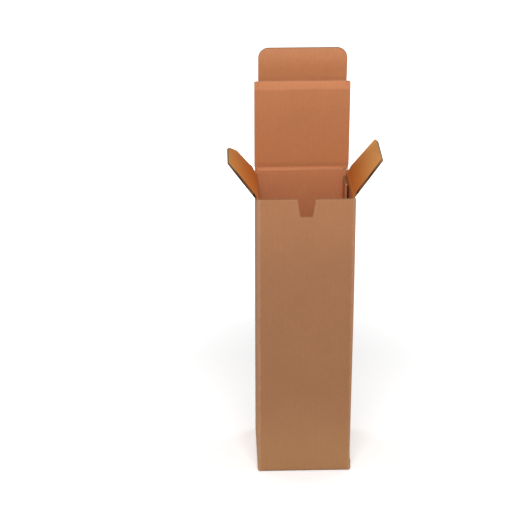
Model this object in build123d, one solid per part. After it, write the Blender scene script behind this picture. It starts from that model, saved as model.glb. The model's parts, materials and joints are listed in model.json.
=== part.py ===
"""Single-bottle shipping box: one die-cut corrugated blank, folded and glued.

Millimetres. The origin is the middle of the footprint on the floor, +Z is up and the front
panel, with its finger notch, faces -Y. The walls, glue tab and interlocking bottom are one
folded sheet. The lid, its tuck flap and the two dust flaps swing on scored creases.
"""

from build123d import *
from math import cos, radians, sin
import os

# Board
board = 3.0
fold_inner_radius = 0.3
corner_ease = 1.5

# Box, between the inner faces of the walls
inside_width = 101.6
inside_depth = 101.6

# Front rim above the floor, and the creases above and below it
front_rim_height = 333.0
lid_crease_rise = 3.0
dust_crease_drop = 3.0

# Scored creases: the board is crushed to a thin web that bends
crease_web = 1.4
crease_neck = 1.0
flap_crease_reach = 8.0
wall_crease_reach = 3.6
crease_gap = 0.3
open_fold_limit = 120.0

# Back wall crease: clear of the folded corners at either end
back_crease_end_margin = 0.8

# Lid and tuck flap
lid_side_overhang = 0.2
tuck_slack = 1.5
tuck_side_clearance = 1.2
tuck_length = 40.0
tuck_corner_radius = 12.0
lid_angle_in = 2.0
tuck_angle_in = 5.5

# Dust flaps, measured from the front panel's outer face and from their creases
dust_flaps_gap = 2.0
dust_back_margin = 4.2
right_dust_length = 52.0
right_dust_front_margin = 15.4
right_dust_angle_out = 38.0
right_front_slant = 7.6
right_front_end_drop = 2.0
right_back_slant = 6.0
right_clip_along = 7.0
right_clip_away = 1.8
left_dust_front_margin = 7.9
left_dust_angle_out = 37.5
left_front_slant = 3.3
left_step_along = 3.4
left_step_away = 10.6
left_step_drop = 2.4
left_taper_along = 11.4
left_taper_away = 37.0
left_end_along = 37.3

# Finger notch in the front rim
notch_top_width = 20.0
notch_bottom_width = 13.5
notch_depth = 20.0
notch_radius = 2.0

# Glue tab, on the back panel and glued inside the right wall
tab_width = 30.0
tab_end_taper = 2.5
tab_flap_clearance = 1.5
raw_end_setback = 0.4

# Interlocking bottom
layer_gap = 0.3
flap_side_clearance = 1.2
flap_corner_radius = 2.5
wall_overlap_height = 12.0
side_root_front = 12.3
side_root_back = 6.8
side_root_strip = 3.8
side_step_run = 8.0
side_back_edge = 12.8
side_hook_half_gap = 1.0
side_knee_place = 13.0
lock_half_width = 26.0
lock_clearance = 2.0
front_flap_side_clearance = 1.0
front_flat_end = 3.0
front_shoulder_taper = 11.0
tongue_rise_run = 14.0
tongue_reach = 27.0
tongue_end_narrowing = 2.0
tongue_corner_radius = 6.0
back_step_start = 1.8
back_step_run = 9.0
back_leg_past_centre = 3.0

# Places worked out from the sizes above
lid_crease_height = front_rim_height + lid_crease_rise
dust_crease_height = front_rim_height - dust_crease_drop
half_width = inside_width / 2
half_depth = inside_depth / 2
outer_half_width = half_width + board
outer_half_depth = half_depth + board
web_half = crease_web / 2
board_beyond_web = board - web_half
bend_radius = fold_inner_radius + board / 2
side_crease_x = outer_half_width - web_half
lid_crease_y = outer_half_depth - web_half
tuck_crease_y = half_depth - tuck_slack - web_half
lid_length = lid_crease_y + tuck_crease_y
lid_half_width = outer_half_width + lid_side_overhang
tuck_half_width = half_width - tuck_side_clearance
left_dust_length = 2 * side_crease_x - dust_flaps_gap - right_dust_length
layer = board + layer_gap
lowest_raw_edge = board / 2
tab_inner_x = half_width - board
tab_bend_start = tab_inner_x - fold_inner_radius
tab_top_height = dust_crease_height - board_beyond_web - tab_flap_clearance
tab_turn_top_height = lid_crease_height - wall_crease_reach
back_foot_level = layer + lowest_raw_edge
back_crease_left = -half_width + back_crease_end_margin
back_crease_right = tab_inner_x - back_crease_end_margin


def prism(points, plane, start, end):
    """Extrudes the closed outline of points on a plane, between two distances along its normal."""
    outline = make_face(Polyline(*points, close=True))
    return plane.offset(start) * extrude(outline, end - start)


def eased_prism(points, radii, height):
    """Extrudes a flat outline up from local Z = -height to +height with rounded corners.

    radii holds one corner radius for each point, 0 where the corner stays sharp.
    """
    face = make_face(Polyline(*points, close=True))
    for point, radius in zip(points, radii):
        if radius > 0:
            corner = face.vertices().sort_by_distance((point[0], point[1], 0))[0]
            face = fillet(corner, radius)
    return Pos(0, 0, -height) * extrude(face, 2 * height)


def board_band(points, plane, length):
    """Sheet of board whose middle follows points on a plane, extruded both ways along its normal."""
    path = FilletPolyline(*points, radius=bend_radius)
    band = trace(path, line_width=board)
    return plane * extrude(band, length / 2, both=True)


def wall_frame(name):
    """Local frame on a wall: X along the wall, Y from its inner face outwards, Z up from the floor."""
    turns = {"back": 0, "left": 90, "front": 180, "right": -90}
    reach = half_depth if name in ("back", "front") else half_width
    return Rot(0, 0, turns[name]) * Pos(0, reach, 0)


def crease_frame(name, height):
    """Local frame on a wall's crease: X along the hinge line, Y outwards, Z up the folded panel."""
    return wall_frame(name) * Pos(0, board - web_half, height)


def scored_head(start, end, reach):
    """End of a panel along a crease, crushed on its inner side, with the hinge line as its origin."""
    outline = Polyline(
        (web_half, 0),
        (web_half, -reach),
        (-board_beyond_web, -reach),
        (-web_half, -crease_neck),
        (-web_half, 0),
    )
    rounded_edge = ThreePointArc((-web_half, 0), (0, web_half), (web_half, 0))
    head = extrude(make_face([outline, rounded_edge]), end - start)
    return Plane.YZ.offset(start) * head


def score_panel_end(panel, frame, start, end, reach):
    """Replaces the square end of a panel by a scored one between two places along the crease."""
    depth = board + 2 * crease_gap
    blank = Box(end - start, depth, 4 * reach, align=(Align.MIN, Align.CENTER, Align.MIN))
    middle = web_half - board / 2
    head = scored_head(start, end, reach)
    return panel - frame * Pos(start, middle, -reach) * blank + frame * head


def flap_board(length, start, end):
    """Upright flap above its crease, crushed on the inner side near the hinge line.

    Its root is a shallow V round the hinge line, cut back on the outer side so that the flap
    swings out to the open fold limit.
    """
    root = web_half + crease_gap
    past_level = radians(open_fold_limit - 90)
    outer_root = (root + web_half * sin(past_level)) / cos(past_level) + crease_gap / 4
    section = [
        (-web_half, root),
        (-root * sin(past_level / 2), root * cos(past_level / 2)),
        (web_half, outer_root),
        (web_half, length),
        (-board_beyond_web, length),
        (-board_beyond_web, flap_crease_reach),
    ]
    return prism(section, Plane.YZ, start, end)


def cut_flap(length, points, radii):
    """Flap of a given length, cut to an outline of places along the crease and away from it."""
    along = [point[0] for point in points]
    plate = flap_board(length, min(along), max(along))
    cutter = Rot(90, 0, 0) * eased_prism(points, radii, 2 * board)
    return plate & cutter


def walls():
    """The four walls as one strip of board round three corners, up to the lid crease."""
    middle_x = half_width + board / 2
    middle_y = half_depth + board / 2
    raw_end_y = outer_half_depth - raw_end_setback
    loop = [
        (middle_x, raw_end_y),
        (middle_x, -middle_y),
        (-middle_x, -middle_y),
        (-middle_x, middle_y),
        (tab_bend_start, middle_y),
    ]
    strip = board_band(loop, Plane.XY, 2 * lid_crease_height)
    below_crease = Box(4 * outer_half_width, 4 * outer_half_depth, lid_crease_height - lowest_raw_edge,
                       align=(Align.CENTER, Align.CENTER, Align.MIN))
    return strip & Pos(0, 0, lowest_raw_edge) * below_crease


def glue_tab():
    """Tab on the back panel that lies inside the right wall, its end cut low under the dust flap."""
    middle_y = half_depth + board / 2
    free_edge_y = half_depth - tab_width
    turn_y = half_depth - fold_inner_radius - raw_end_setback
    turn = [
        (tab_bend_start - board, middle_y),
        (half_width - board / 2, middle_y),
        (half_width - board / 2, free_edge_y),
    ]
    strip = board_band(turn, Plane.XY, 2 * lid_crease_height)
    side_view = [
        (free_edge_y, back_foot_level + tab_end_taper),
        (half_depth, back_foot_level),
        (outer_half_depth, back_foot_level),
        (outer_half_depth, tab_turn_top_height),
        (turn_y, tab_turn_top_height),
        (turn_y, tab_top_height),
        (free_edge_y, tab_top_height - tab_end_taper),
    ]
    return strip & prism(side_view, Plane.YZ, 0, outer_half_width)


def trim_rims(panels):
    """Cuts the top edges of the walls down to the front rim and the dust flap creases."""
    tall = 4 * board
    front = Pos(0, -outer_half_depth, front_rim_height) * Box(
        4 * outer_half_width, 2 * board, tall, align=(Align.CENTER, Align.CENTER, Align.MIN))
    middle = Pos(0, 0, dust_crease_height) * Box(
        4 * outer_half_width, inside_depth, tall, align=(Align.CENTER, Align.CENTER, Align.MIN))
    left = Pos(back_crease_left, 0, front_rim_height) * Box(
        inside_width, 4 * half_depth, tall, align=(Align.MAX, Align.MIN, Align.MIN))
    right = Pos(back_crease_right, 0, front_rim_height) * Box(
        inside_width, 4 * half_depth, tall, align=(Align.MIN, Align.MIN, Align.MIN))
    return panels - front - middle - left - right


def finger_notch():
    """Cutter for the notch in the front rim that lets a finger reach the tuck flap."""
    floor = front_rim_height - notch_depth
    above = front_rim_height + board
    flare = (notch_top_width - notch_bottom_width) / 2 / notch_depth
    top_half = notch_bottom_width / 2 + flare * (above - floor)
    outline = [
        (-top_half, above),
        (-notch_bottom_width / 2, floor),
        (notch_bottom_width / 2, floor),
        (top_half, above),
    ]
    cutter = eased_prism(outline, [0, notch_radius, notch_radius, 0], 2 * board)
    return Pos(0, -half_depth, 0) * Rot(90, 0, 0) * cutter


def dust_crease_span(front_margin):
    """Front and back ends, as Y, of a dust flap's crease."""
    return front_margin - outer_half_depth, outer_half_depth - dust_back_margin


def right_dust_outline():
    """Slightly tapered, with a clipped back corner, as places along the crease and away from it."""
    front, back = dust_crease_span(right_dust_front_margin)
    end_corner = -back + right_back_slant
    points = [
        (-front, 0),
        (-front - right_front_slant, right_dust_length - right_front_end_drop),
        (end_corner + right_clip_along, right_dust_length),
        (end_corner, right_dust_length - right_clip_away),
        (-back, 0),
    ]
    return points, [0, corner_ease, corner_ease, corner_ease, 0]


def left_dust_outline():
    """Outline that steps in behind its root, tapers and ends in a shorter straight edge."""
    front, back = dust_crease_span(left_dust_front_margin)
    points = [
        (front, 0),
        (front + left_front_slant, left_dust_length),
        (back - left_end_along, left_dust_length),
        (back - left_taper_along, left_taper_away),
        (back - left_step_along, left_step_away + left_step_drop),
        (back, left_step_away),
        (back, 0),
    ]
    return points, [0, corner_ease, 2 * corner_ease, 2 * corner_ease, corner_ease, corner_ease, 0]


def bottom_profile(root_level, steps):
    """Path of a bottom flap's middle, down its wall, round the bend and in over the steps.

    steps holds places as distance in from the wall's inner face and level of the underside.
    """
    path = [(board / 2, wall_overlap_height + bend_radius), (board / 2, root_level + board / 2)]
    return path + [(-inwards, level + board / 2) for inwards, level in steps]


def bottom_flap(wall, root_level, steps, points, radii):
    """Bottom flap of a wall: its bend and the last of the wall above, cut to a flat outline.

    points holds places along the wall and inwards from its inner face.
    """
    along = [point[0] for point in points]
    length = max(along) - min(along)
    middle = (max(along) + min(along)) / 2
    band = Pos(middle, 0, 0) * board_band(bottom_profile(root_level, steps), Plane.YZ, length)
    plan = [(u, -inwards) for u, inwards in points]
    return wall_frame(wall) * (band & eased_prism(plan, radii, 2 * wall_overlap_height))


def root_blank(wall, start, end):
    """Box that clears the foot of a wall where a bottom flap's bend takes its place."""
    height = wall_overlap_height
    blank = Box(end - start, 2 * board, 2 * height, align=(Align.MIN, Align.CENTER, Align.CENTER))
    return wall_frame(wall) * Pos(start, board / 2, 0) * blank


def front_bottom_flap():
    """Outermost flap, whose tongue rises through the slot and lies on the side flaps' hooks."""
    root_half = half_width - flap_side_clearance
    inner_half = half_width - side_root_strip - side_step_run - front_flap_side_clearance
    side_root = side_root_front - flap_side_clearance / 2
    shoulder = half_depth + front_flat_end
    tongue_half = lock_half_width - lock_clearance
    rise_end = shoulder + tongue_rise_run
    tip = half_depth + tongue_reach + front_flat_end
    steps = [(shoulder, 0), (rise_end, 2 * layer), (tip, 2 * layer)]
    half = [
        (root_half, -board, 0),
        (root_half, side_root - board, corner_ease),
        (inner_half, side_root, 0),
        (inner_half, shoulder - front_shoulder_taper, flap_corner_radius),
        (tongue_half, shoulder, flap_corner_radius),
        (tongue_half - tongue_end_narrowing, tip, tongue_corner_radius),
    ]
    mirrored = [(-along, inwards, radius) for along, inwards, radius in reversed(half)]
    points = [(along, inwards) for along, inwards, _ in half + mirrored]
    radii = [radius for _, _, radius in half + mirrored]
    flap = bottom_flap("front", 0, steps, points, radii)
    return flap, root_blank("front", -root_half, root_half)


def right_bottom_flap():
    """Side flap: its root lies on the floor, then it steps over the front flap to its hook."""
    front = side_root_front - half_depth
    back = half_depth - side_root_back
    strip = side_root_strip
    over = strip + side_step_run
    centre = half_width - side_hook_half_gap
    lock = half_width - lock_half_width
    hook_front = front_flat_end + tongue_rise_run + lock_clearance
    back_edge = half_depth - side_back_edge
    steps = [(strip, 0), (over, layer), (centre, layer)]
    corners = [
        (front, -board, 0),
        (front, over + corner_ease, corner_ease),
        (-side_knee_place, lock, flap_corner_radius),
        (hook_front, lock, flap_corner_radius),
        (hook_front, centre, corner_ease),
        (back_edge, centre, corner_ease),
        (back_edge, side_root_back, corner_ease),
        (back, 0, 0),
        (back, -board, 0),
    ]
    points = [(-y, inwards) for y, inwards, _ in corners]
    radii = [radius for _, _, radius in corners]
    flap = bottom_flap("right", 0, steps, points, radii)
    return flap, root_blank("right", -back, -front)


def back_bottom_flap():
    """Innermost flap, whose recess leaves the slot that the tongue comes up through."""
    root_half = tab_inner_x - flap_side_clearance
    reach = half_depth + back_leg_past_centre
    tongue_tip = front_flat_end + tongue_reach
    recess = half_depth - tongue_tip - lock_clearance
    step_end = back_step_start + back_step_run
    steps = [(back_step_start, layer), (step_end, 2 * layer), (reach, 2 * layer)]
    half = [
        (root_half, -board, 0),
        (root_half, 0, 0),
        (root_half - flap_side_clearance, reach, flap_corner_radius),
        (lock_half_width + corner_ease, reach, flap_corner_radius),
        (lock_half_width, recess, tongue_corner_radius),
    ]
    mirrored = [(-along, inwards, radius) for along, inwards, radius in reversed(half)]
    points = [(along, inwards) for along, inwards, _ in half + mirrored]
    radii = [radius for _, _, radius in half + mirrored]
    flap = bottom_flap("back", layer, steps, points, radii)
    foot = Box(inside_width + board, 2 * board, back_foot_level,
               align=(Align.CENTER, Align.CENTER, Align.MIN))
    raised_foot = wall_frame("back") * Pos(0, board, 0) * foot
    return flap, root_blank("back", -root_half, root_half) + raised_foot


def box_body():
    """Walls, glue tab and bottom flaps: the part of the sheet that stays put once it is glued."""
    sheet = trim_rims(walls())
    lid_frame = crease_frame("back", lid_crease_height)
    sheet = score_panel_end(sheet, lid_frame, back_crease_left, back_crease_right, wall_crease_reach)
    right_front, right_back = dust_crease_span(right_dust_front_margin)
    right_frame = crease_frame("right", dust_crease_height)
    sheet = score_panel_end(sheet, right_frame, -right_back, -right_front, wall_crease_reach)
    left_front, left_back = dust_crease_span(left_dust_front_margin)
    left_frame = crease_frame("left", dust_crease_height)
    sheet = score_panel_end(sheet, left_frame, left_front, left_back, wall_crease_reach)
    sheet = sheet + glue_tab() - finger_notch()
    front_flap, front_foot = front_bottom_flap()
    right_flap, right_foot = right_bottom_flap()
    back_flap, back_foot = back_bottom_flap()
    left_flap, left_foot = right_flap.mirror(Plane.YZ), right_foot.mirror(Plane.YZ)
    for flap, foot in ((front_flap, front_foot), (right_flap, right_foot),
                       (left_flap, left_foot), (back_flap, back_foot)):
        sheet = sheet - foot + flap
    return sheet


def lid_frame():
    """Frame on the lid's crease at rest, with Z along the lid, tipped in from upright."""
    return crease_frame("back", lid_crease_height) * Rot(lid_angle_in, 0, 0)


def lid_panel():
    """Lid, a little wider than the tuck flap, scored along the tuck's root."""
    points = [
        (-lid_half_width, 0),
        (-lid_half_width, lid_length),
        (lid_half_width, lid_length),
        (lid_half_width, 0),
    ]
    panel = cut_flap(lid_length, points, [0, corner_ease, corner_ease, 0])
    tuck_crease = Pos(0, 0, lid_length)
    panel = score_panel_end(panel, tuck_crease, -tuck_half_width, tuck_half_width, flap_crease_reach)
    return lid_frame() * panel


def tuck_flap():
    """Flap that goes down inside the front wall, with two rounded corners."""
    points = [
        (-tuck_half_width, 0),
        (-tuck_half_width, tuck_length),
        (tuck_half_width, tuck_length),
        (tuck_half_width, 0),
    ]
    flap = cut_flap(tuck_length, points, [0, tuck_corner_radius, tuck_corner_radius, 0])
    return lid_frame() * Pos(0, 0, lid_length) * Rot(tuck_angle_in, 0, 0) * flap


def dust_flap(wall, angle_out, length, outline):
    """Dust flap of a side wall, leaning out from its crease."""
    points, radii = outline
    flap = cut_flap(length, points, radii)
    return crease_frame(wall, dust_crease_height) * Rot(-angle_out, 0, 0) * flap


parts = {
    "box_body": box_body(),
    "lid_panel": lid_panel(),
    "tuck_flap": tuck_flap(),
    "left_dust_flap": dust_flap("left", left_dust_angle_out, left_dust_length, left_dust_outline()),
    "right_dust_flap": dust_flap("right", right_dust_angle_out, right_dust_length, right_dust_outline()),
}

os.makedirs("parts", exist_ok=True)
for node, shape in parts.items():
    export_step(shape, f"parts/{node}.step")
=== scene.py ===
"""Looks of the single-bottle shipping box: fluted kraft board, crushed creases, plain studio."""

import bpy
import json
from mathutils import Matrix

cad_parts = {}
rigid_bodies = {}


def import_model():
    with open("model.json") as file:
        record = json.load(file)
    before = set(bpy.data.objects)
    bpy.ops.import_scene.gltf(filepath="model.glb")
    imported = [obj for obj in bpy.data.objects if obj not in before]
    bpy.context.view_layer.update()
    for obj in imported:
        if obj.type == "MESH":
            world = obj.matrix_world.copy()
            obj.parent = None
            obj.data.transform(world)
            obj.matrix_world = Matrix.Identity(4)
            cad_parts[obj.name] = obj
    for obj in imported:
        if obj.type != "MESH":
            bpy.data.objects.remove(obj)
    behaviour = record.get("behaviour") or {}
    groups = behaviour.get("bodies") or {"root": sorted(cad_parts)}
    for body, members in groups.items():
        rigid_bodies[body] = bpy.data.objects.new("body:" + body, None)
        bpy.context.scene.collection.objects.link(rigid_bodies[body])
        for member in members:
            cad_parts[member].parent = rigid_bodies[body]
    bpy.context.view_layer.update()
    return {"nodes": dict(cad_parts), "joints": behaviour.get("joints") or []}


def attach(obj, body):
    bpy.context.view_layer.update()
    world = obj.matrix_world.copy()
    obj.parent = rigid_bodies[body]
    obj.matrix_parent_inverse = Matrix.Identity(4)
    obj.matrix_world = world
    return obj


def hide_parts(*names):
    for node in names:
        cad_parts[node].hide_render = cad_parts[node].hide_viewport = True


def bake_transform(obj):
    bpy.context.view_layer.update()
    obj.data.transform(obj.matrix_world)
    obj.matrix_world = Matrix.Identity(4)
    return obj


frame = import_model()

import json
import logging
from collections.abc import Callable, Iterator
from contextlib import contextmanager
from dataclasses import dataclass, field
from enum import Enum
from math import pi, radians, sin

import bmesh
import bpy
from bpy.types import ID, Material, Node, NodeTree, Object
from bpy.types import NodeSocket as Socket
from mathutils import Matrix, Vector
from mathutils.geometry import convex_hull_2d

LOG = logging.getLogger("shipping_box")

Place = tuple[float, float, float]
Colour = tuple[float, float, float]
Span = tuple[float, float]
Corners = tuple[Vector, Vector]
Test = Callable[[Vector], bool]

MM = 0.001
HAIR = 0.01 * MM  # a length too small to see
WELD = 0.001 * MM  # distance between vertices that are one
NEARLY_FLAT = radians(0.5)  # turn between faces that are one
OVERRUN = 4 * MM  # how far a cutter runs past the board that it opens
WALL_REACH = 53.1 * MM  # from the box's axis to the creases along its walls
FOLD_REACH = 52.3 * MM  # from the box's axis to the folds between its walls
SHORT_EDGE = 2.4 * MM  # longest edge of a rounded corner
CREASE_ZONE = 3 * MM  # height of a flap's root that has no edge of its own
SQUARE, HALF, STEEP, SLIGHT = 0.9, 0.5, 0.45, 0.3  # parts of a normal that lie along an axis


def mm(*lengths: float) -> tuple[float, ...]:
    """Lengths in millimetres, as metres."""
    return tuple(length * MM for length in lengths)


class Cut(Enum):
    """How one solid is combined with another."""

    TAKE_AWAY = "DIFFERENCE"
    KEEP_INSIDE = "INTERSECT"


class Wall(Enum):
    """Side of the box, with the turn about Z that brings the back wall's frame to it."""

    LEFT = 90
    FRONT = 180
    RIGHT = -90


class Side(Enum):
    """What a face of the board shows, with its place in the list of materials."""

    OUTER = 0
    INNER = 1
    CORE = 2


@dataclass(frozen=True)
class Board:
    """Single-wall corrugated board. Faces are given as distances out from a crease's hinge line."""

    thickness: float = 3.0 * MM  # over both liners
    liner: float = 0.32 * MM
    medium: float = 0.26 * MM  # the fluted paper
    pitch: float = 6.35 * MM  # from flute to flute
    steps: int = 8  # columns of the mesh in a flute
    web_half: float = 0.7 * MM  # half of what is left in a crushed crease
    neck: float = 1.0 * MM  # from a hinge line to where the board starts to thicken
    crush: float = 8.0 * MM  # from a hinge line to where it is whole again

    @property
    def outer(self) -> float:
        """Outer face."""
        return self.web_half

    @property
    def inner(self) -> float:
        """Inner face."""
        return self.web_half - self.thickness

    @property
    def middle(self) -> float:
        """Middle of the board."""
        return (self.outer + self.inner) / 2

    @property
    def wave_height(self) -> float:
        """Rise of the fluted paper's middle from the board's middle."""
        return (self.thickness - 2 * self.liner - self.medium) / 2

    def inner_at(self, away: float) -> float:
        """Inner face of a flap at a distance from its hinge line."""
        share = min(max((away - self.neck) / (self.crush - self.neck), 0.0), 1.0)
        return -self.web_half + share * (self.inner + self.web_half)


BOARD = Board()


# Workbench: small steps of hand modelling on one object


def deselect_all() -> None:
    """Clears the selection, so that an operator acts only on what is picked next."""
    if bpy.context.object and bpy.context.object.mode != "OBJECT":
        bpy.ops.object.mode_set(mode="OBJECT")
    bpy.ops.object.select_all(action="DESELECT")


def pick(piece: Object) -> None:
    """Makes one object the selected and active one.

    Args:
        piece: Object that the next operators act on.
    """
    deselect_all()
    piece.select_set(True)
    bpy.context.view_layer.objects.active = piece


@contextmanager
def editing(piece: Object) -> Iterator[None]:
    """Holds a piece in edit mode.

    Args:
        piece: Object to edit.
    """
    pick(piece)
    bpy.ops.object.mode_set(mode="EDIT")
    yield
    bpy.ops.object.mode_set(mode="OBJECT")


def select_where(test: Test, kind: str = "VERT") -> None:
    """Selects the parts of the mesh in edit mode that pass a test.

    Args:
        test: Takes a vertex's place or a face's middle.
        kind: "VERT" or "FACE".
    """
    bpy.ops.mesh.select_mode(type=kind)
    bpy.ops.mesh.select_all(action="DESELECT")
    work = bmesh.from_edit_mesh(bpy.context.object.data)
    if kind == "VERT":
        for vertex in work.verts:
            vertex.select_set(test(vertex.co))
    else:
        for face in work.faces:
            face.select_set(test(sum((v.co for v in face.verts), Vector()) / len(face.verts)))
    work.select_flush_mode()
    bmesh.update_edit_mesh(bpy.context.object.data)


def shift_where(test: Test, move: Place) -> None:
    """Moves the vertices in edit mode that pass a test."""
    select_where(test)
    bpy.ops.transform.translate(value=move)


def paint_faces(piece: Object, materials: dict[Side, Material],
                choose: Callable[[Vector, Vector], Side]) -> None:
    """Gives each face of a piece the material of what it shows.

    Args:
        piece: Object to paint.
        materials: Material for each side of the board.
        choose: Takes a face's middle and normal and says what it shows.
    """
    piece.data.materials.clear()
    for side in Side:
        piece.data.materials.append(materials[side])
    with editing(piece):
        bpy.ops.mesh.select_mode(type="FACE")
        for side in Side:
            bpy.ops.mesh.select_all(action="DESELECT")
            work = bmesh.from_edit_mesh(piece.data)
            for face in work.faces:
                face.select_set(choose(face.calc_center_median(), face.normal) is side)
            bmesh.update_edit_mesh(piece.data)
            piece.active_material_index = side.value
            bpy.ops.object.material_slot_assign()


def settle(piece: Object, placement: Matrix | None = None) -> Object:
    """Puts a piece in its place and moves that place into its mesh.

    Args:
        piece: Object to move.
        placement: Frame that the piece was modelled in, or None where it already stands right.

    Returns:
        The same object, at the origin, unturned and unscaled.
    """
    pick(piece)
    if placement is not None:
        piece.matrix_world = placement @ piece.matrix_world
    bpy.ops.object.transform_apply(location=True, rotation=True, scale=True)
    return piece


def modify(piece: Object, kind: str, **settings: object) -> None:
    """Gives a piece a modifier and applies it to its mesh.

    Args:
        piece: Object to change.
        kind: Kind of modifier, such as "SOLIDIFY".
        **settings: Its properties by name.
    """
    modifier = piece.modifiers.new(kind.lower(), kind)
    for name, value in settings.items():
        setattr(modifier, name, value)
    pick(piece)
    bpy.ops.object.modifier_apply(modifier=modifier.name)


def smooth(piece: Object, angle: float = 40.0) -> None:
    """Shades a piece smooth and keeps its flats flat.

    Args:
        piece: Object to shade.
        angle: Edges sharper than this many degrees stay sharp.
    """
    pick(piece)
    bpy.ops.object.shade_smooth_by_angle(angle=radians(angle))
    modify(piece, "WEIGHTED_NORMAL", keep_sharp=True)


def combine(piece: Object, tool: Object, cut: Cut) -> None:
    """Cuts a piece with another solid, which is then thrown away."""
    modify(piece, "BOOLEAN", operation=cut.value, solver="EXACT", object=tool)
    bpy.data.objects.remove(tool, do_unlink=True)


def join(pieces: list[Object], name: str) -> Object:
    """Joins objects to one.

    Args:
        pieces: Objects to join, the first of which stays.
        name: Name of the joined piece.

    Returns:
        The joined object.
    """
    pick(pieces[0])
    for piece in pieces[1:]:
        piece.select_set(True)
    bpy.ops.object.join()
    pieces[0].name = pieces[0].data.name = name
    return pieces[0]


def put(name: str, data: ID) -> Object:
    """Puts a mesh, lamp or camera in the scene.

    Args:
        name: Name of the new object.
        data: What it holds.

    Returns:
        The object, at the origin.
    """
    piece = bpy.data.objects.new(name, data)
    bpy.context.scene.collection.objects.link(piece)
    return piece


def copy_solid(node: str, name: str) -> Object:
    """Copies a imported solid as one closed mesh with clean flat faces.

    Args:
        node: Node of the frame.
        name: Name of the copy.

    Returns:
        The copy, at the origin.
    """
    copy = put(name, frame["nodes"][node].data.copy())
    pick(copy)
    bpy.ops.mesh.customdata_custom_splitnormals_clear()
    with editing(copy):
        bpy.ops.mesh.select_all(action="SELECT")
        bpy.ops.mesh.remove_doubles(threshold=WELD)
        bpy.ops.mesh.dissolve_limited(angle_limit=NEARLY_FLAT)
    copy.data.materials.clear()
    return copy


def block(low: Vector, high: Vector, placement: Matrix | None = None) -> Object:
    """Adds a plain block between two corners, used only as a cutter.

    Args:
        low: Lowest corner in the local frame.
        high: Highest corner in the local frame.
        placement: The local frame, or None where it is the box's own.

    Returns:
        The block, with its place in its mesh.
    """
    deselect_all()
    bpy.ops.mesh.primitive_cube_add(size=1, location=(low + high) / 2)
    tool = bpy.context.object
    tool.scale = high - low
    return settle(tool, placement)


def upright_grid(name: str, middle: Place, size: Span, cells: tuple[int, int]) -> Object:
    """Adds a grid that stands along X and Z.

    Args:
        name: Name of the grid.
        middle: Its middle.
        size: Its width and height.
        cells: Its columns and rows.

    Returns:
        The grid, with its place in its mesh.
    """
    deselect_all()
    bpy.ops.mesh.primitive_grid_add(x_subdivisions=cells[0], y_subdivisions=cells[1], size=1)
    grid = bpy.context.object
    grid.name = name
    grid.rotation_euler.x = pi / 2
    grid.scale = (*size, 1)
    grid.location = middle
    return settle(grid)


def flute_sheet(node: str, low: Vector, high: Vector, placement: Matrix) -> Object:
    """Models the fluted paper that fills a flat piece of board, as a wave along X.

    Args:
        node: Node of the frame whose solid it is trimmed to.
        low: Lowest corner of the board's core in the local frame, flutes running along Z.
        high: Highest corner of it.
        placement: The local frame.

    Returns:
        The sheet, with its place in its mesh.
    """
    step = BOARD.pitch / BOARD.steps
    columns = round((high.x - low.x) / step)
    middle = (low.x + columns * step / 2, (low.y + high.y) / 2, (low.z + high.z) / 2)
    sheet = upright_grid("flutes", middle, (columns * step, high.z - low.z), (columns, 1))
    with editing(sheet):
        for phase in range(BOARD.steps):
            rise = BOARD.wave_height * sin(2 * pi * phase / BOARD.steps)
            shift_where(lambda place: round((place.x - low.x) / step) % BOARD.steps == phase,
                        (0, rise, 0))
    modify(sheet, "SOLIDIFY", thickness=BOARD.medium, offset=0)
    settle(sheet, placement)
    combine(sheet, copy_solid(node, "outline"), Cut.KEEP_INSIDE)
    return sheet


# Creases, read from the frame's joints


def crease_frame(joint_name: str) -> Matrix:
    """Frame on a crease at rest: X along it, Y out of the board's outer face, Z up the flap.

    A flap closes to a right angle with the board that carries it, so the closed end of its
    joint's range says how far it stands from upright at rest.

    Args:
        joint_name: Joint of the frame.

    Returns:
        The frame as a matrix in metres.
    """
    joint = next(entry for entry in frame["joints"] if entry["name"] == joint_name)
    carriers = [entry for entry in frame["joints"] if entry["child"] == joint["parent"]]
    closing = sum(90.0 - entry["range_deg"][1] for entry in [joint, *carriers])
    along = Vector(joint["axis"]).normalized()
    up = Vector((0, 0, 1))
    turn = Matrix((along, up.cross(along), up)).transposed().to_4x4()
    return Matrix.Translation(joint["pos_m"]) @ turn @ Matrix.Rotation(radians(closing), 4, "X")


def wall_frame(wall: Wall) -> Matrix:
    """Frame on a wall: X along it, Y out from its crease plane, Z up from the floor."""
    turn = Matrix.Rotation(radians(wall.value), 4, "Z")
    return turn @ Matrix.Translation((0, WALL_REACH, 0))


def flap_outline(node: str, placement: Matrix) -> list[Corners]:
    """Straight edges of a flap's outline, seen square on, without short ones.

    Args:
        node: Node of the frame.
        placement: Frame of the flap's crease.

    Returns:
        For each edge, a point on it and the normal that points inwards, both in X and Z.
    """
    back = placement.inverted()
    places = [back @ vertex.co for vertex in frame["nodes"][node].data.vertices]
    corners = sorted({(round(place.x, 5), round(place.z, 5)) for place in places})
    hull = [Vector(corners[index]) for index in convex_hull_2d([Vector(c) for c in corners])]
    edges = []
    for first, second in zip(hull, hull[1:] + hull[:1]):
        run = second - first
        if run.length > SHORT_EDGE and max(first.y, second.y) > CREASE_ZONE:
            edges.append((first, Vector((-run.y, run.x)).normalized()))
    return edges


# Finishes


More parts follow.
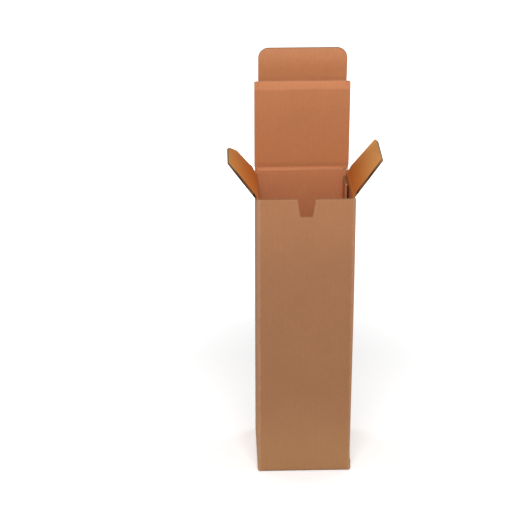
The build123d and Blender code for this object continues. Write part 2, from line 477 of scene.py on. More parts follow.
@dataclass(frozen=True)
class Net:
    """Nodes of one shader tree. Each input takes a plain value or another node's socket."""

    tree: NodeTree

    def fill(self, node: Node, **values: object) -> None:
        """Sets a node's properties and input sockets.

        Args:
            node: Node to set.
            **values: Properties by name, and input sockets as in_NAME or in_NUMBER.
        """
        for name, value in values.items():
            key = name[3:].replace("_", " ")
            if not name.startswith("in_"):
                setattr(node, name, value)
            elif isinstance(value, Socket):
                self.tree.links.new(value, node.inputs[int(key) if key.isdigit() else key])
            else:
                node.inputs[int(key) if key.isdigit() else key].default_value = value

    def add(self, kind: str, **values: object) -> Node:
        """Adds a node.

        Args:
            kind: Node type without "ShaderNode", such as "Mapping".
            **values: As for fill.

        Returns:
            The node.
        """
        node = self.tree.nodes.new(f"ShaderNode{kind}")
        self.fill(node, **values)
        return node

    def group(self, name: str, place: Socket, **values: object) -> dict[str, Socket]:
        """Adds a node group that works on a place, and gives its outputs by name."""
        tree = bpy.data.node_groups[name]
        return dict(self.add("Group", node_tree=tree, in_Vector=place, **values).outputs.items())

    def maths(self, operation: str, *inputs: object, clamp: bool = False) -> Socket:
        """Adds one step of arithmetic.

        Args:
            operation: Name of the operation.
            *inputs: Numbers or sockets.
            clamp: Whether the result is held between 0 and 1.

        Returns:
            The result's socket.
        """
        values = {f"in_{index}": value for index, value in enumerate(inputs)}
        return self.add("Math", operation=operation, use_clamp=clamp, **values).outputs[0]

    def times(self, first: object, second: object) -> Socket:
        """Product of two numbers or sockets."""
        return self.maths("MULTIPLY", first, second)

    def plus(self, first: object, second: object) -> Socket:
        """Sum of two numbers or sockets."""
        return self.maths("ADD", first, second)

    def size(self, value: Socket) -> Socket:
        """A value without its sign."""
        return self.maths("ABSOLUTE", value)

    def swing(self, noise: Socket, amount: object) -> Socket:
        """Turns a noise about a half into one about nothing, times an amount."""
        return self.times(self.maths("SUBTRACT", noise, 0.5), amount)

    def ramp(self, value: Socket, low: float, high: float) -> Socket:
        """Smooth step of a value from 0 at low to 1 at high."""
        return self.add("MapRange", interpolation_type="SMOOTHSTEP", in_0=value, in_1=low,
                        in_2=high).outputs[0]

    def split(self, place: Socket) -> list[Socket]:
        """X, Y and Z of a place or normal."""
        return list(self.add("SeparateXYZ", in_0=place).outputs)

    def blend(self, mode: str, amount: object, first: object, second: object) -> Socket:
        """Mixes two colours.

        Args:
            mode: Blend mode, such as "MULTIPLY".
            amount: How much of the second, as a number or socket.
            first: Colour or socket.
            second: Colour or socket.

        Returns:
            The mixed colour's socket.
        """
        first, second = (value if isinstance(value, Socket) else (*value, 1.0)
                         for value in (first, second))
        return self.add("Mix", data_type="RGBA", blend_type=mode, in_0=amount, in_6=first,
                        in_7=second).outputs[2]


def new_group(name: str, inputs: dict[str, str], outputs: dict[str, str]
              ) -> tuple[Net, dict[str, Socket], Node]:
    """Starts a shader node group.

    Args:
        name: Name of the group.
        inputs: Kinds of the input sockets by name.
        outputs: Kinds of the output sockets by name.

    Returns:
        The group's net, what it is given, and the node that takes its results.
    """
    tree = bpy.data.node_groups.new(name, "ShaderNodeTree")
    for in_out, sockets in (("INPUT", inputs), ("OUTPUT", outputs)):
        for label, kind in sockets.items():
            tree.interface.new_socket(name=label, in_out=in_out, socket_type=f"NodeSocket{kind}")
    given = dict(tree.nodes.new("NodeGroupInput").outputs.items())
    return Net(tree), given, tree.nodes.new("NodeGroupOutput")


@dataclass(frozen=True)
class Noise:
    """Random grain between 0 and 1, with its scale in grains per metre."""

    scale: float
    detail: float = 2.0
    roughness: float = 0.5
    distortion: float = 0.0

    def over(self, net: Net, place: Socket) -> Socket:
        """Spreads the grain over a place's socket."""
        return net.add("TexNoise", in_Vector=place, in_Scale=self.scale, in_Detail=self.detail,
                       in_Roughness=self.roughness, in_Distortion=self.distortion
                       ).outputs["Fac"]


@dataclass(frozen=True)
class KraftPaper:
    """Unbleached paper: cloudy brown with long fibres, dark flecks and a soft tooth."""

    clouds: Noise = Noise(24.0, 3.0)
    mottle: Noise = Noise(190.0, 3.0, 0.6)
    mottle_share: float = 0.7  # strength beside the clouds
    fibres: Noise = Noise(760.0, 4.0, 0.65, 0.8)
    fibre_stretch: Place = (1.0, 1.0, 0.25)
    flecks: Noise = Noise(520.0, 3.0, 0.7)
    # Where a fleck starts and is whole, and its strength
    dark: tuple[float, float, float] = (0.64, 0.74, 0.45)
    dark_colour: Colour = (0.50, 0.38, 0.30)  # dims the paper
    pale: tuple[float, float, float] = (0.62, 0.78, 0.14)  # the same for the palest fibres
    pale_colour: Colour = (0.66, 0.40, 0.24)
    roughness: Span = (0.76, 0.14)  # at its smoothest, and what fibres add
    height: Span = (0.55, 0.45)  # of fibres and mottle

    def build(self) -> None:
        """Builds a node group that turns a place and a colour into paper."""
        net, given, result = new_group(
            "kraft_paper",
            {"Vector": "Vector", "Paper Color": "Color", "Cloud Amount": "Float",
             "Fibre Amount": "Float"},
            {"Color": "Color", "Roughness": "Float", "Height": "Float"},
        )
        place = given["Vector"]
        mottle = self.mottle.over(net, place)
        stretched = net.add("Mapping", in_Vector=place, in_Scale=self.fibre_stretch).outputs[0]
        fibre = self.fibres.over(net, stretched)
        clouds = net.maths("SUBTRACT", self.clouds.over(net, place), 0.5)
        blotches = net.plus(clouds, net.swing(mottle, self.mottle_share))
        swing = net.times(blotches, given["Cloud Amount"])
        grain = net.swing(fibre, given["Fibre Amount"])
        level = net.plus(net.plus(swing, grain), 1.0)
        shaded = net.add("VectorMath", operation="SCALE", in_0=given["Paper Color"],
                         in_Scale=level).outputs[0]
        dark = net.ramp(self.flecks.over(net, place), *self.dark[:2])
        flecked = net.blend("MULTIPLY", net.times(dark, self.dark[2]), shaded, self.dark_colour)
        pale = net.times(net.ramp(fibre, *self.pale[:2]), self.pale[2])
        net.fill(
            result,
            in_Color=net.blend("MIX", pale, flecked, self.pale_colour),
            in_Roughness=net.plus(net.times(fibre, self.roughness[1]), self.roughness[0]),
            in_Height=net.plus(net.times(fibre, self.height[0]), net.times(mottle, self.height[1])),
        )


@dataclass(frozen=True)
class FluteShow:
    """Faint lines where the flutes under a liner show through it."""

    wander: Noise = Noise(12.0)
    wander_reach: float = 1.6  # how far the lines bend
    sharpness: float = 1.6  # power that narrows them
    patches: Noise = Noise(30.0)  # where they show
    fade: Span = (0.3, 0.62)  # values of it between which they appear

    def build(self) -> None:
        """Builds a node group that turns a distance across the flutes into a mask."""
        net, given, result = new_group("flute_show", {"Vector": "Vector", "Across": "Float"},
                                       {"Mask": "Float"})
        wander = self.wander.over(net, given["Vector"])
        turns = net.times(given["Across"], 2 * pi / BOARD.pitch)
        wave = net.maths("SINE", net.plus(turns, net.times(wander, self.wander_reach)))
        half_up = net.plus(net.times(wave, 0.5), 0.5)
        crest = net.maths("POWER", half_up, self.sharpness)
        shown = net.ramp(self.patches.over(net, given["Vector"]), *self.fade)
        net.fill(result, in_Mask=net.times(crest, shown))


@dataclass(frozen=True)
class Rub:
    """Rubbed paper beside a line, such as a fold or a cut edge, broken up along it; along folds it
    also marks a painted highlight.
    """

    grain: Noise = Noise(140.0, 4.0, 0.7)
    raggedness: float = 1.6

    def build(self) -> None:
        """Builds a node group that turns a distance from the line and a width into a mask."""
        net, given, result = new_group(
            "rub", {"Vector": "Vector", "Distance": "Float", "Width": "Float"}, {"Mask": "Float"})
        share = net.maths("DIVIDE", given["Distance"], given["Width"])
        grain = net.swing(self.grain.over(net, given["Vector"]), self.raggedness)
        away = net.ramp(net.plus(share, grain), 0.0, 1.0)
        net.fill(result, in_Mask=net.maths("SUBTRACT", 1.0, away))


@dataclass(frozen=True)
class Layout:
    """Distances that a finish needs at each place of a sheet, as sockets of one node tree."""

    place: Socket  # in the sheet's own frame
    across: Socket  # across the flutes
    up: Socket  # up the sheet
    edge: Socket  # in from the nearest cut edge
    fold: Socket  # from the nearest fold


LayOut = Callable[[Net], Layout]


def flap_layout(net: Net, node: str, placement: Matrix) -> Layout:
    """Lays out a flat flap in the frame of its crease.

    Args:
        net: Nodes of a material.
        node: Node of the frame, for the flap's outline.
        placement: Frame of its crease.

    Returns:
        The flap's distances.
    """
    back = placement.inverted()
    place = net.add("TexCoord").outputs["Object"]
    local = net.add("Mapping", in_Vector=place, in_Location=back.translation,
                    in_Rotation=back.to_euler()).outputs[0]
    across, _, up = net.split(local)
    edge: Socket | None = None
    for point, inwards in flap_outline(node, placement):
        reach = net.add("VectorMath", operation="DOT_PRODUCT", in_0=local,
                        in_1=(inwards.x, 0.0, inwards.y)).outputs[1]
        distance = net.maths("SUBTRACT", reach, point.dot(inwards))
        edge = distance if edge is None else net.maths("MINIMUM", edge, distance)
    return Layout(local, across, up, edge, net.size(up))


def shell_layout(net: Net, rim: float) -> Layout:
    """Lays out the walls in the box's own frame.

    Args:
        net: Nodes of a material.
        rim: Height of the raw rim.

    Returns:
        The walls' distances.
    """
    coordinates = net.add("TexCoord")
    place = coordinates.outputs["Object"]
    x, y, z = net.split(place)
    facing_x, facing_y, _ = net.split(coordinates.outputs["Normal"])
    side_on = net.maths("GREATER_THAN", net.size(facing_x), net.size(facing_y))
    across = net.add("Mix", data_type="FLOAT", in_0=side_on, in_2=x, in_3=y).outputs[0]
    nearer = net.maths("MINIMUM", net.size(x), net.size(y))
    corner = net.size(net.maths("SUBTRACT", FOLD_REACH, nearer))
    edge = net.size(net.maths("SUBTRACT", rim, z))
    return Layout(place, across, z, edge, net.maths("MINIMUM", corner, z))


@dataclass(frozen=True)
class Patch:
    """Part of a liner with a colour of its own, between two soft-edged corners."""

    colour: Colour
    low: Place
    high: Place
    soft: Place = mm(0.6, 0.6, 0.6)  # fade to each side of its limits

    def mask(self, net: Net, place: Socket) -> Socket:
        """Adds the nodes that say how much of the patch covers a place.

        Args:
            net: Nodes of a material.
            place: Socket with the place.

        Returns:
            A socket with 0 to 1.
        """
        mask: Socket | None = None
        for value, low, high, soft in zip(net.split(place), self.low, self.high, self.soft):
            inside = net.times(net.ramp(value, low - soft, low + soft),
                               net.ramp(value, high + soft, high - soft))
            mask = inside if mask is None else net.times(mask, inside)
        return mask


@dataclass(frozen=True)
class PaperFinish:
    """Colours and wear of one side of the board, with painted light and shade."""

    name: str
    colour: Colour  # at the foot
    far_colour: Colour  # at the far end
    span: Span = mm(0, 50)  # heights between which one colour turns to the other
    band: float | None = None  # height from which the crushed paper is painted paler: a painted highlight
    band_waves: Noise = Noise(45.0)  # of its edge
    band_wander: float = 3 * MM  # how far its edge wanders
    band_soft: float = 0.8 * MM  # fade to each side of its edge
    band_gain: Span = (1.14, 0.01)  # times the paper's colour, and added to it
    patches: tuple[Patch, ...] = ()
    cloud: float = 0.11  # strength of the clouds
    fibre: float = 0.2  # strength of the fibres
    flute_tone: float = 0.02  # how much the flutes darken it
    flute_shade: Colour = (0.35, 0.3, 0.26)  # what they dim it with
    flute_relief: float = 0.014 * MM  # height of the flutes' lines
    paper_relief: float = 0.028 * MM  # height of the paper's tooth
    fold_rub_and_highlight: float = 0.22  # strength of the rubbed wear and painted highlight at folds
    fold_width: float = 3.2 * MM
    fold_rub_highlight_colour: Colour = (0.58, 0.33, 0.19)
    fold_relief: float = 1.5  # beside the paper's tooth
    fold_roughness: float = 0.08  # added to the paper's
    edge_rub: float = 0.3  # strength of the rub at cut edges
    edge_width: float = 1.2 * MM
    edge_colour: Colour = (0.52, 0.29, 0.17)
    shine: float = 0.22  # specular level
    relief: float = 0.7  # strength of all relief

    def base_colour(self, net: Net, layout: Layout) -> Socket:
        """Works out the paper's colour, with its painted light and shade, before its grain and
        wear.

        Args:
            net: Nodes of the material.
            layout: Distances over the sheet.

        Returns:
            The colour's socket.
        """
        share = net.ramp(layout.up, *self.span)
        colour = net.blend("MIX", share, self.colour, self.far_colour)
        for patch in self.patches:
            colour = net.blend("MIX", patch.mask(net, layout.place), colour, patch.colour)
        if self.band is None:
            return colour
        # Painted highlight: the crushed band by the far crease is painted paler.
        waves = net.swing(self.band_waves.over(net, layout.place), self.band_wander)
        crush_highlight = net.ramp(net.plus(layout.up, waves), self.band - self.band_soft,
                           self.band + self.band_soft)
        gain, lift = self.band_gain
        paler = tuple(min(channel * gain + lift, 1.0) for channel in self.far_colour)
        return net.blend("MIX", crush_highlight, colour, paler)

    def material(self, lay_out: LayOut) -> Material:
        """Makes the material.

        Args:
            lay_out: Adds the nodes that give the distances over the sheet.

        Returns:
            The material.
        """
        material = bpy.data.materials.new(self.name)
        material.use_nodes = True
        net = Net(material.node_tree)
        layout = lay_out(net)
        place = layout.place
        lines = net.group("flute_show", place, in_Across=layout.across)["Mask"]
        sheet = net.group("kraft_paper", place, in_Cloud_Amount=self.cloud,
                          in_Paper_Color=self.base_colour(net, layout), in_Fibre_Amount=self.fibre)
        fold, edge = (
            net.group("rub", place, in_Distance=distance, in_Width=width)["Mask"]
            for distance, width in ((layout.fold, self.fold_width), (layout.edge, self.edge_width))
        )
        lined = net.blend("MULTIPLY", net.times(lines, self.flute_tone), sheet["Color"],
                          self.flute_shade)
        # Rubbed wear and painted highlight along the folds.
        folded = net.blend("MIX", net.times(fold, self.fold_rub_and_highlight), lined, self.fold_rub_highlight_colour)
        rubbed = net.blend("MIX", net.times(edge, self.edge_rub), folded, self.edge_colour)
        worn = net.maths("ADD", sheet["Roughness"], net.times(fold, self.fold_roughness),
                         clamp=True)
        tooth = net.times(sheet["Height"], self.paper_relief)
        ribs = net.times(lines, self.flute_relief)
        crush = net.times(fold, self.paper_relief * self.fold_relief)
        bump = net.add("Bump", in_Height=net.plus(net.plus(tooth, ribs), crush),
                       in_Distance=1.0, in_Strength=self.relief)
        net.fill(net.tree.nodes["Principled BSDF"], in_Base_Color=rubbed, in_Roughness=worn,
                 in_Specular_IOR_Level=self.shine, in_Normal=bump.outputs[0])
        return material


@dataclass(frozen=True)
class SheetFinish:
    """Finishes of a piece of board: its two liners and its fluted core."""

    outer: PaperFinish
    inner: PaperFinish
    core: PaperFinish

    def materials(self, lay_out: LayOut) -> dict[Side, Material]:
        """Makes the three materials, by side."""
        finishes = {Side.OUTER: self.outer, Side.INNER: self.inner, Side.CORE: self.core}
        return {side: finish.material(lay_out) for side, finish in finishes.items()}


# Sub-assemblies


@dataclass(frozen=True)
class Flap:
    """A swinging panel: its names in the frame and its finishes."""

    body: str
    node: str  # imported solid
    carrier: str  # body that carries it
    finish: SheetFinish

    @property
    def hinge(self) -> Matrix:
        """Frame of its crease."""
        return crease_frame(f"{self.body}_fold")

    def materials(self) -> dict[Side, Material]:
        """Makes its materials, laid out from its crease."""
        return self.finish.materials(lambda net: flap_layout(net, self.node, self.hinge))


@dataclass
class FlapBoard:
    """A flat flap with open fluted edges, beyond a root that is crushed to its crease."""

    flap: Flap
    half_width: float  # along the crease, where it is widest
    length: float  # from the crease
    root: float = 8.2 * MM  # end of the crushed root, with whole flutes beyond it
    open_root: float = 3.4 * MM  # where its core starts to open at the sides
    far_root: float = 0.0  # solid length at the far end, next to another crease
    skin: float = 0.12 * MM  # depth from which a face shows the core
    steepest: float = 0.4  # least part of a liner's normal that points out of the board
    piece: Object | None = field(default=None, init=False)

    def core_corners(self) -> Corners:
        """Lowest and highest corner of the core between the liners, in the crease's frame.

        Returns:
            The corners, past the sides and a free end.
        """
        end = self.length - self.far_root if self.far_root else self.length + OVERRUN
        low = Vector((-self.half_width - OVERRUN, BOARD.inner + BOARD.liner, self.root))
        return low, Vector((self.half_width + OVERRUN, BOARD.outer - BOARD.liner, end))

    def crushed_core(self, placement: Matrix) -> Object:
        """Models the core's wedge in the root, where the board thins towards its crease.

        Args:
            placement: Frame of the crease.

        Returns:
            The wedge, with its place in its mesh.
        """
        low, high = self.core_corners()
        wedge = block(Vector((low.x, low.y, self.open_root)),
                      Vector((high.x, high.y, self.root + HAIR)))
        rise = BOARD.inner_at(self.open_root) + BOARD.liner - low.y
        middle = (self.open_root + self.root) / 2
        with editing(wedge):
            shift_where(lambda place: place.z < middle and place.y < 0, (0, rise, 0))
        return settle(wedge, placement)

    def build(self) -> None:
        """Opens the board's core and puts the fluted paper in it."""
        placement, node = self.flap.hinge, self.flap.node
        liners = copy_solid(node, f"{node}_liners")
        combine(liners, block(*self.core_corners(), placement), Cut.TAKE_AWAY)
        combine(liners, self.crushed_core(placement), Cut.TAKE_AWAY)
        flutes = flute_sheet(node, *self.core_corners(), placement)
        self.piece = join([liners, flutes], f"{node}_board")
        smooth(self.piece)

    def side_of(self, place: Vector, normal: Vector) -> Side:
        """Says what a face shows.

        Args:
            place: The face's middle in the crease's frame.
            normal: Its normal in that frame.

        Returns:
            The side of the board that it shows.
        """
        inner = BOARD.inner_at(place.z)
        if self.far_root:
            inner = max(inner, BOARD.inner_at(self.length - place.z))
        hidden = inner + self.skin < place.y < BOARD.outer - self.skin
        if hidden or abs(normal.y) < self.steepest:
            return Side.CORE
        return Side.OUTER if normal.y > 0 else Side.INNER

    def dress(self) -> None:
        """Gives the flap its finishes and ties it to its body."""
        back = self.flap.hinge.inverted()
        turn = back.to_3x3()
        paint_faces(self.piece, self.flap.materials(),
                    lambda place, normal: self.side_of(back @ place, turn @ normal))
        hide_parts(self.flap.node)
        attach(self.piece, self.flap.body)


@dataclass(frozen=True)
class Groove:
    """Stretch of a raw edge where the board's core is open, in a wall's frame."""

    wall: Wall
    span: Span  # start and end along the wall
    heights: Span  # lowest and highest place
    inset: float = 0.0  # of the board in from the wall's own place
    fluted: bool = True  # whether flutes' ends show in it
    slack: float = 0.02 * MM  # how far off its sides a face may lie

    def corners(self, lap: float = 0.0) -> Corners:
        """Corners of the open core.

        Args:
            lap: How far the corners are moved out.

        Returns:
            The lowest and highest corner in the wall's frame.
        """
        low = Vector((self.span[0], BOARD.inner + BOARD.liner - self.inset, self.heights[0]))
        high = Vector((self.span[1], BOARD.outer - BOARD.liner - self.inset, self.heights[1]))
        grow = Vector((lap, lap, lap))
        return low - grow, high + grow

    def holds(self, place: Vector) -> bool:
        """Says whether a place of the box lies in the open core or on its sides.

        Args:
            place: The place.

        Returns:
            Whether it does.
        """
        low, high = self.corners(self.slack)
        local = wall_frame(self.wall).inverted() @ place
        return all(low[axis] <= local[axis] <= high[axis] for axis in range(3))


@dataclass(frozen=True)
class Knock:
    """The front right corner of the walls, knocked in over part of its height."""

    depths: tuple[Span, ...] = (  # heights, and how far it has sunk in at each
        mm(11, 0), mm(15, 0.8), mm(22, 1.1), mm(40, 1), mm(75, 0.8), mm(120, 0.5), mm(170, 0.25),
        mm(225, 0),
    )
    lines: Span = mm(24, 38)  # cuts to the right in the front wall
    side_line: float = -38 * MM  # cut in the right wall
    # Distances to the right, and how much of the depth the front wall takes past each
    shares: tuple[Span, ...] = ((36 * MM, 0.35), (48 * MM, 0.65))
    front: float = -46 * MM  # only what lies before this moves
    slope: float = 0.25  # how much of its shift goes back into the wall

    def sink(self, shell: Object, bottom: float) -> None:
        """Sinks the corner in.

        Args:
            shell: The walls.
            bottom: Height of the top of the bottom flaps, which stay as they are.
        """
        cuts = [((0, 0, height), (0, 0, 1)) for height, _ in self.depths]
        cuts += [((reach, 0, 0), (1, 0, 0)) for reach in self.lines]
        cuts.append(((0, self.side_line, 0), (0, 1, 0)))
        with editing(shell):
            for point, normal in cuts:
                select_where(lambda place: place.x > 0 and place.z > bottom, "FACE")
                bpy.ops.mesh.bisect(plane_co=point, plane_no=normal)
            for height, depth in self.depths:
                for reach, share in self.shares:
                    shift_where(lambda place: (place.x > reach and place.y < self.front
                                               and abs(place.z - height) < HAIR),
                                (-depth * share, depth * share * self.slope, 0))


@dataclass
class BoxShell:
    """Walls, glue tab and interlocking bottom, with open flutes along the raw rims."""

    finish: SheetFinish
    node: str = "box_body"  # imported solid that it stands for
    body: str = "box"
    rim: float = 333.0 * MM  # height of the front rim
    bottom: float = 13.5 * MM  # height of the top of the bottom flaps
    knock: Knock = Knock()
    skin: float = 0.1 * MM  # depth from which a face shows the core
    corner: float = 0.4 * MM  # how much further in than its inner face a wall still counts
    grooves: tuple[Groove, ...] = (
        Groove(Wall.FRONT, mm(-49.9, 49.9), mm(296, 336)),
        Groove(Wall.LEFT, mm(-50.2, -46.3), mm(296, 336)),
        Groove(Wall.RIGHT, mm(38.8, 50.2), mm(296, 336)),
        Groove(Wall.RIGHT, mm(-56, -50.9), mm(14, 336), fluted=False),
        Groove(Wall.RIGHT, mm(-49, -26), mm(296, 329), inset=3.0 * MM),
    )
    piece: Object | None = field(default=None, init=False)

    def build(self) -> None:
        """Opens the core at each raw rim and puts the flutes' ends in it."""
        shell = copy_solid(self.node, "shell")
        parts = [shell]
        for groove in self.grooves:
            placement = wall_frame(groove.wall)
            if groove.fluted:
                parts.append(flute_sheet(self.node, *groove.corners(), placement))
            combine(shell, block(*groove.corners(), placement), Cut.TAKE_AWAY)
        self.knock.sink(shell, self.bottom)
        self.piece = join(parts, "box_shell")
        smooth(self.piece)

    def side_of(self, place: Vector, normal: Vector) -> Side:
        """Says what a face shows.

        Args:
            place: The face's middle.
            normal: Its normal.

        Returns:
            The side of the board that it shows.
        """
        if any(groove.holds(place) for groove in self.grooves):
            return Side.CORE
        flat = WALL_REACH + BOARD.inner - self.corner
        beside, before = abs(place.x) > flat, abs(place.y) > flat
        out_x = normal.x if place.x > 0 else -normal.x
        out_y = normal.y if place.y > 0 else -normal.y
        if place.z < self.bottom and not (beside or before):
            if abs(normal.z) < HALF:
                return Side.CORE
            return Side.INNER if normal.z > 0 else Side.OUTER
        outwards = max(out_x if beside else -1.0, out_y if before else -1.0)
        if outwards > STEEP or normal.z < -STEEP:
            return Side.OUTER
        if normal.z > SQUARE and place.z > self.bottom:
            return Side.CORE
        along_wall = abs(normal.x if abs(place.y) > abs(place.x) else normal.y) > SQUARE
        off_middle = abs(max(abs(place.x), abs(place.y)) - WALL_REACH - BOARD.middle)
        if along_wall and off_middle < BOARD.thickness / 2 - self.skin:
            return Side.CORE
        return Side.INNER if max(-out_x, -out_y, normal.z) > SLIGHT else Side.CORE

    def dress(self) -> None:
        """Gives the shell its finishes and ties it to its body."""
        materials = self.finish.materials(lambda net: shell_layout(net, self.rim))
        paint_faces(self.piece, materials, self.side_of)
        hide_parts(self.node)
        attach(self.piece, self.body)


@dataclass
class CreaseWeb:
    """Crushed web of board in the gap between a flap and what carries it, where the board bends."""

    flap: Flap
    span: Span  # start and end along the crease
    reach: Span = mm(1.5, 2.4)  # into the carrier, and into the flap
    # Depth from which its ends step in behind the wall's rounded corners, and how far
    tuck_in: Span | None = None
    thickness: float = 1.24 * MM
    rows: int = 16
    column: float = 2 * MM  # width of a column of the mesh
    bend: Span = mm(-0.9, 1.5)  # heights between which the board bends at the crease
    piece: Object | None = field(default=None, init=False)

    def build(self) -> None:
        """Models the web as a subdivided strip of thin board."""
        start, end = self.span
        below, above = self.reach
        web = upright_grid(f"{self.flap.body}_crease", ((start + end) / 2, 0, (above - below) / 2),
                           (end - start, below + above),
                           (round((end - start) / self.column), self.rows))
        if self.tuck_in:
            depth, inset = self.tuck_in
            with editing(web):
                for limit, step in ((start, inset), (end, -inset)):
                    shift_where(lambda place: place.z < -depth and abs(place.x - limit) < MM,
                                (step, 0, 0))
        modify(web, "SOLIDIFY", thickness=self.thickness, offset=0)
        self.piece = settle(web, self.flap.hinge)
        smooth(self.piece, 60.0)

    def dress(self) -> None:
        """Gives the web its finishes and bakes its place into its mesh."""
        placement = self.flap.hinge
        turn = placement.inverted().to_3x3()
        sides = {1: Side.OUTER, -1: Side.INNER, 0: Side.CORE}
        paint_faces(self.piece, self.flap.materials(),
                    lambda place, normal: sides[round((turn @ normal).y)])
        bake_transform(self.piece)


@dataclass(frozen=True)
class Lamp:
    """Square soft lamp."""

    name: str
    place: Place
    size: float  # side of the square
    power: float  # watts

    def build(self, target: Place) -> None:
        """Adds the lamp.

        Args:
            target: Place that it points at.
        """
        data = bpy.data.lights.new(self.name, "AREA")
        data.size = self.size
        data.energy = self.power
        lamp = put(self.name, data)
        lamp.location = self.place
        aim = Vector(target) - Vector(self.place)
        lamp.rotation_euler = aim.to_track_quat("-Z", "Y").to_euler()


@dataclass
class Studio:
    """Pale floor, white surroundings, soft lamps and the camera."""

    camera_place: Place = (-0.0945, -1.5907, 0.8684)
    heading: float = -1.4676  # turn about Z in degrees
    pitch: float = 21.3128  # tilt down in degrees
    roll: float = -0.18  # turn about its own axis in degrees
    focal_px: float = 1507.0  # focal length in pixels
    picture_px: int = 512  # width of the picture
    sensor: float = 36.0  # width in millimetres
    clip: Span = (0.05, 60.0)
    lamps: tuple[Lamp, ...] = (
        Lamp("key", (-0.05, -0.72, 1.12), 0.45, 7.1),
        Lamp("fill", (0.1, -1.9, 0.9), 1.4, 5.8),
        Lamp("left_side", (-1.4, 0.85, 0.85), 1.0, 6.5),
        Lamp("right_side", (1.4, 0.85, 0.85), 1.0, 6.5),
    )
    target: Place = (0.0, 0.0, 0.22)
    ambient: float = 0.405  # light from all round
    floor_radius: float = 6.0
    floor_colour: Colour = (0.82, 0.82, 0.82)
    floor_roughness: float = 0.9
    floor_glow: float = 0.34  # light that only the camera sees in the floor
    floor_fade: Span = (0.25, 0.9)  # distances between which it grows to white
    footprint: float = 52.5 * MM  # reach of the floor under the box, which stays dark

    def build(self) -> None:
        """Adds the camera, the lamps, the surroundings and the floor."""
        self.add_camera()
        for lamp in self.lamps:
            lamp.build(self.target)
        self.light_surroundings()
        self.lay_floor()
        bpy.context.scene.view_settings.view_transform = "Standard"

    def add_camera(self) -> None:
        """Adds the camera at the photograph's viewing angle."""
        data = bpy.data.cameras.new("camera")
        data.sensor_width = self.sensor
        data.lens = self.focal_px / self.picture_px * self.sensor
        data.clip_start, data.clip_end = self.clip
        camera = put("camera", data)
        stand = Matrix.Translation(self.camera_place)
        for angle, axis in ((self.heading, "Z"), (90 - self.pitch, "X"), (self.roll, "Z")):
            stand @= Matrix.Rotation(radians(angle), 4, axis)
        camera.matrix_world = stand
        bpy.context.scene.camera = camera

    def seen_directly(self, net: Net) -> Socket:
        """Mask of what the camera sees, straight or in a reflection.

        Args:
            net: Nodes of a material or of the world.

        Returns:
            A socket with 0 or 1.
        """
        rays = net.add("LightPath").outputs
        bent = net.maths("MAXIMUM", rays["Is Glossy Ray"], rays["Is Transmission Ray"])
        return net.maths("MAXIMUM", rays["Is Camera Ray"], bent)

    def light_surroundings(self) -> None:
        """Lights the box evenly from all round, in front of a white background."""
        world = bpy.data.worlds.new("surroundings")
        bpy.context.scene.world = world
        world.use_nodes = True
        net = Net(world.node_tree)
        net.tree.nodes.clear()
        seen = self.seen_directly(net)
        light, white = (
            net.add("Background", in_Color=(1, 1, 1, 1), in_Strength=strength).outputs[0]
            for strength in (self.ambient, 1.0)
        )
        mixed = net.add("MixShader", in_0=seen, in_1=light, in_2=white).outputs[0]
        net.add("OutputWorld", in_Surface=mixed)

    def lay_floor(self) -> None:
        """Lays a pale floor that runs out to white and keeps the box's soft shadow."""
        deselect_all()
        bpy.ops.mesh.primitive_circle_add(vertices=96, radius=self.floor_radius, fill_type="NGON")
        floor = bpy.context.object
        floor.name = "floor"
        material = bpy.data.materials.new("pale_floor")
        material.use_nodes = True
        net = Net(material.node_tree)
        place = net.add("TexCoord").outputs["Object"]
        away = net.add("VectorMath", operation="LENGTH", in_0=place).outputs[1]
        fade = net.times(net.ramp(away, *self.floor_fade), 1.0 - self.floor_glow)
        x, y, _ = net.split(place)
        reach = net.maths("MAXIMUM", net.size(x), net.size(y))
        open_floor = net.times(self.seen_directly(net),
                               net.maths("GREATER_THAN", reach, self.footprint))
        glow = net.times(open_floor, net.plus(fade, self.floor_glow))
        net.fill(net.tree.nodes["Principled BSDF"], in_Base_Color=(*self.floor_colour, 1),
                 in_Roughness=self.floor_roughness, in_Specular_IOR_Level=0.0,
                 in_Emission_Color=(1, 1, 1, 1), in_Emission_Strength=glow)
        floor.data.materials.append(material)


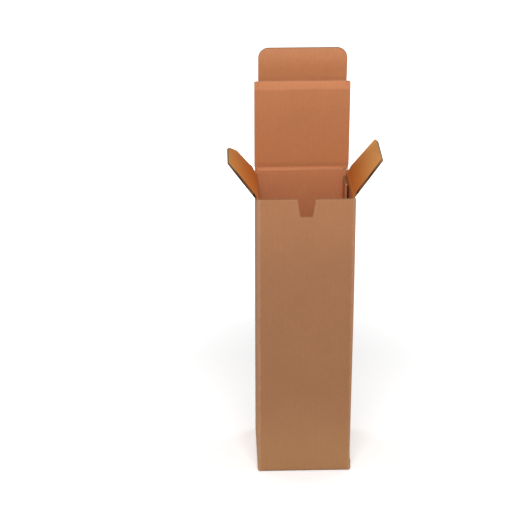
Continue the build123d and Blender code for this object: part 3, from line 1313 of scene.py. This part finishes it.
@dataclass
class ShippingBox:
    """The whole box: its shell, four flaps and the creases between them."""

    outer: Colour = (0.408, 0.181, 0.084)
    inner: Colour = (0.497, 0.192, 0.0815)
    outer_middle_painted_shade: Colour = (0.352, 0.161, 0.076)  # half way up the walls, darker: painted shade
    outer_foot_painted_bounce: Colour = (0.42, 0.208, 0.092)  # at the foot of the walls, lighter: painted light bounced off the floor
    # inner liner of the walls, lighter than the flaps': painted light against the shade inside the
    # box
    shell_inner: Colour = (0.57, 0.218, 0.095)
    lid_foot_painted_light: Colour = (0.56, 0.218, 0.09)  # of the lid's inner liner by its crease, lighter: painted light against the shade there
    tuck_foot: Colour = (0.475, 0.179, 0.073)  # the same on the tuck flap
    tuck_end_painted_light: Colour = (0.555, 0.23, 0.108)  # at its free end, lighter: painted light
    glue_stain: Colour = (0.075, 0.018, 0.004)  # painted shade on the right wall's inner face beside the tab
    core: Colour = (0.40, 0.19, 0.09)  # fluted paper and cut edges
    dust_core_painted_shade: Colour = (0.21, 0.088, 0.032)  # the same at the dust flaps, darker: painted shade
    dust_tip: Colour = (0.40, 0.25, 0.13)  # at their free ends
    # Inner liner of the left and the right dust flap, at the root and at the free end: paper colour
    # with painted bounced light, more orange at the roots and lit differently on each flap
    dust_roots_and_bounce: tuple[Colour, Colour] = ((0.54, 0.15, 0.0205), (0.475, 0.137, 0.0195))
    dust_ends_and_light: tuple[Colour, Colour] = ((0.585, 0.222, 0.046), (0.645, 0.292, 0.08))

    def finish(self, name: str, inner: PaperFinish) -> SheetFinish:
        """Makes the finishes of one panel.

        Args:
            name: Name of the panel.
            inner: Finish of its inner liner.

        Returns:
            The panel's finishes.
        """
        outer = PaperFinish(f"{name}_outer_liner", self.outer, self.outer)
        if name == "shell":
            # The walls' outer liner is painted darker half way up and lighter at the rim and the
            # foot: painted shade and light.
            foot = Patch(self.outer_foot_painted_bounce, (-1, -1, -1), (1, 1, 60 * MM), soft=mm(1, 1, 60))
            outer = PaperFinish("shell_outer_liner", self.outer_middle_painted_shade, self.outer,
                                mm(225, 335), patches=(foot,), fold_rub_and_highlight=0.4)
        raw, tip = (self.dust_core_painted_shade, self.dust_tip) if "dust" in name else (self.core, self.core)
        core = PaperFinish(f"{name}_core", raw, tip, mm(30, 51), cloud=0.2, fibre=0.35,
                           flute_tone=0.0, flute_relief=0.0, fold_rub_and_highlight=0.0, edge_rub=0.0)
        return SheetFinish(outer, inner, core)

    def dust_flap(self, side: str, index: int, span: Span) -> Flap:
        """Makes a dust flap, its inner liner more orange towards its root: painted bounced light.

        Args:
            side: Side of the box that it swings on.
            index: Place of its colours in the lists of root and end colours.
            span: Heights between which its root's colour turns to its end's.

        Returns:
            The flap.
        """
        name = f"{side}_dust"
        inner = PaperFinish(f"{name}_inner_liner", self.dust_roots_and_bounce[index], self.dust_ends_and_light[index],
                            span, fold_rub_and_highlight=0.05)
        return Flap(name, f"{name}_flap", "box", self.finish(name, inner))

    def shell_finish(self) -> SheetFinish:
        """Makes the shell's finishes, with the dust flaps' painted bounced light on the walls by
        their creases and painted shade beside the tab.

        Returns:
            The shell's finishes.
        """
        painted_light_and_shade = (
            # the dust flaps' root colours, with their painted bounced light, carried onto the walls
            # by their creases
            Patch(self.dust_roots_and_bounce[0], mm(-60, -50, 321), mm(-51, 49.6, 331.5)),
            Patch(self.dust_roots_and_bounce[1], mm(51, -60, 321), mm(60, 49.6, 331.5)),
            # painted shade on the right wall's inner face in front of the tab's edge
            Patch(self.glue_stain, mm(49.8, 2, 100), mm(51.3, 80, 326), soft=mm(0.2, 14, 3)),
        )
        colour = self.shell_inner
        return self.finish("shell", PaperFinish("shell_inner_liner", colour, colour,
                                                patches=painted_light_and_shade))

    def parts(self) -> list[FlapBoard | BoxShell | CreaseWeb]:
        """Lists the sub-assemblies in the order in which they are made.

        Returns:
            The sub-assemblies.
        """
        # The lid's inner liner: lighter at its foot as painted light, with a painted highlight on
        # the crushed band by the tuck's crease.
        lid_liner = PaperFinish("lid_inner_liner", self.lid_foot_painted_light, self.inner, mm(0, 60),
                                band=92.5 * MM)
        # The tuck's inner liner turns lighter towards its free end: painted light.
        tuck_liner = PaperFinish("tuck_inner_liner", self.tuck_foot, self.tuck_end_painted_light, mm(12, 40))
        shell = self.shell_finish()
        lid = Flap("lid", "lid_panel", "box", self.finish("lid", lid_liner))
        tuck = Flap("tuck", "tuck_flap", "lid", self.finish("tuck", tuck_liner))
        left = self.dust_flap("left", 0, mm(10, 50))
        right = self.dust_flap("right", 1, mm(5, 48))
        return [
            BoxShell(shell),
            FlapBoard(lid, 54.0 * MM, 101.7 * MM, far_root=8.2 * MM),
            FlapBoard(tuck, 49.6 * MM, 40.0 * MM),
            FlapBoard(left, 50.0 * MM, 52.2 * MM),
            FlapBoard(right, 50.0 * MM, 52.0 * MM),
            CreaseWeb(lid, mm(-53.5, 53.5), mm(4.6, 2.4), mm(3.2, 2.2), 1.08 * MM, rows=28),
            CreaseWeb(tuck, mm(-49.3, 49.3)),
            CreaseWeb(left, mm(-45.6, 49.3)),
            CreaseWeb(right, mm(-49.3, 38.1)),
        ]


def main() -> None:
    """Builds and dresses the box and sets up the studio."""
    logging.basicConfig(level=logging.INFO, format="%(name)s: %(message)s")
    for effect in (KraftPaper(), FluteShow(), Rub()):
        effect.build()
    for part in ShippingBox().parts():
        part.build()
        part.dress()
        LOG.info("%s: %d faces", part.piece.name, len(part.piece.data.polygons))
    Studio().build()
    LOG.info("studio: camera, lamps, surroundings and floor")
    deselect_all()


if __name__ == "__main__":
    main()
